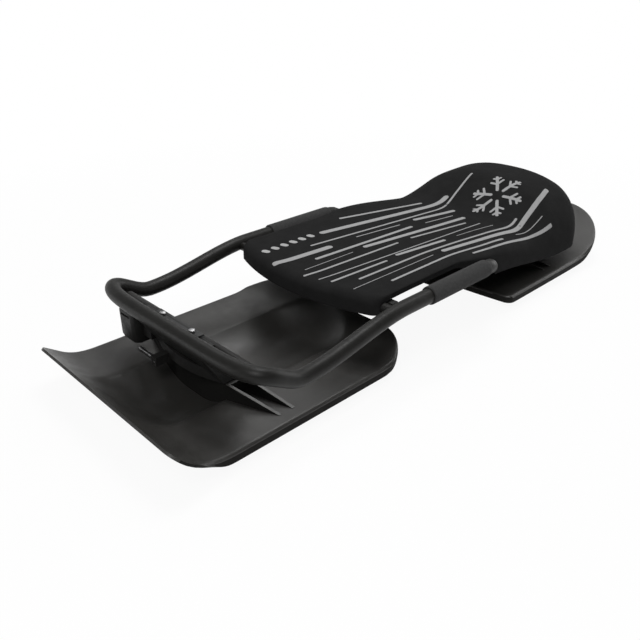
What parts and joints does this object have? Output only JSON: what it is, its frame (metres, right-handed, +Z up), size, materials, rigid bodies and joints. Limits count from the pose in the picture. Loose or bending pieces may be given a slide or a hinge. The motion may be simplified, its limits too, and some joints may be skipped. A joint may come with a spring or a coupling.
{
  "type": "steering sled",
  "caption": "Low snow sled on two moulded plastic skis with a bent tube frame, a padded seat, side grips and a front ski that swivels to steer",
  "frame": {"origin": "On the snow, under the middle of the sled's length and width, at the lowest point of the ski keels", "axes": "+X to the rider's left, +Y to the rear (the front ski points to -Y), +Z up"},
  "size_m": [0.4166, 1.1648, 0.1945],
  "materials": {
    "black_tube": "satin black powder coat on steel tube",
    "foam_grip": "matt grey foam sleeve",
    "ski_plastic": "dark grey moulded polyethylene with a soft sheen",
    "black_moulding": "black moulded plastic",
    "dark_plate": "black coated steel strip",
    "bright_fastener": "zinc plated steel",
    "gate_metal": "worn grey steel with a bright end",
    "pale_bearing": "pale nylon",
    "foam_pad": "matt charcoal foam skin with pale grey printed stripes"
  },
  "bodies": {
    "frame": {"frame_tube": "black_tube", "front_cross_tube": "black_tube", "mid_cross_tube": "black_tube", "rear_cross_tube": "black_tube", "left_grip": "foam_grip", "right_grip": "foam_grip", "rear_ski": "ski_plastic", "steering_head": "black_moulding", "head_plate": "dark_plate", "left_head_screw": "bright_fastener", "right_head_screw": "bright_fastener", "kingpin_bush": "pale_bearing", "gate_pin": "bright_fastener", "rear_bracket": "black_moulding", "rear_clamp_plate": "dark_plate", "left_clamp_screw": "bright_fastener", "right_clamp_screw": "bright_fastener", "left_ski_bolt": "bright_fastener", "right_ski_bolt": "bright_fastener", "left_ski_washer": "bright_fastener", "right_ski_washer": "bright_fastener", "left_ski_nut": "bright_fastener", "right_ski_nut": "bright_fastener", "seat_pad": "foam_pad", "seat_shell": "black_moulding", "seat_post_screw": "bright_fastener", "left_seat_clip": "black_moulding", "right_seat_clip": "black_moulding"},
    "steering_ski": {"front_ski": "ski_plastic", "kingpin": "bright_fastener", "kingpin_washer": "bright_fastener", "kingpin_nut": "bright_fastener", "swivel_disc": "pale_bearing", "stop_pin": "bright_fastener"},
    "tow_gate_body": {"tow_gate": "gate_metal"}
  },
  "joints": [
    {"name": "steer", "type": "hinge", "parent": "frame", "child": "steering_ski", "pos_m": [0, -0.4095, 0], "axis": [0, 0, 1], "range_deg": [-12, 12]},
    {"name": "gate_swing", "type": "hinge", "parent": "frame", "child": "tow_gate_body", "pos_m": [-0.038, -0.4625, 0.0585], "axis": [0, -1, 0], "range_deg": [0, 14]}
  ]
}
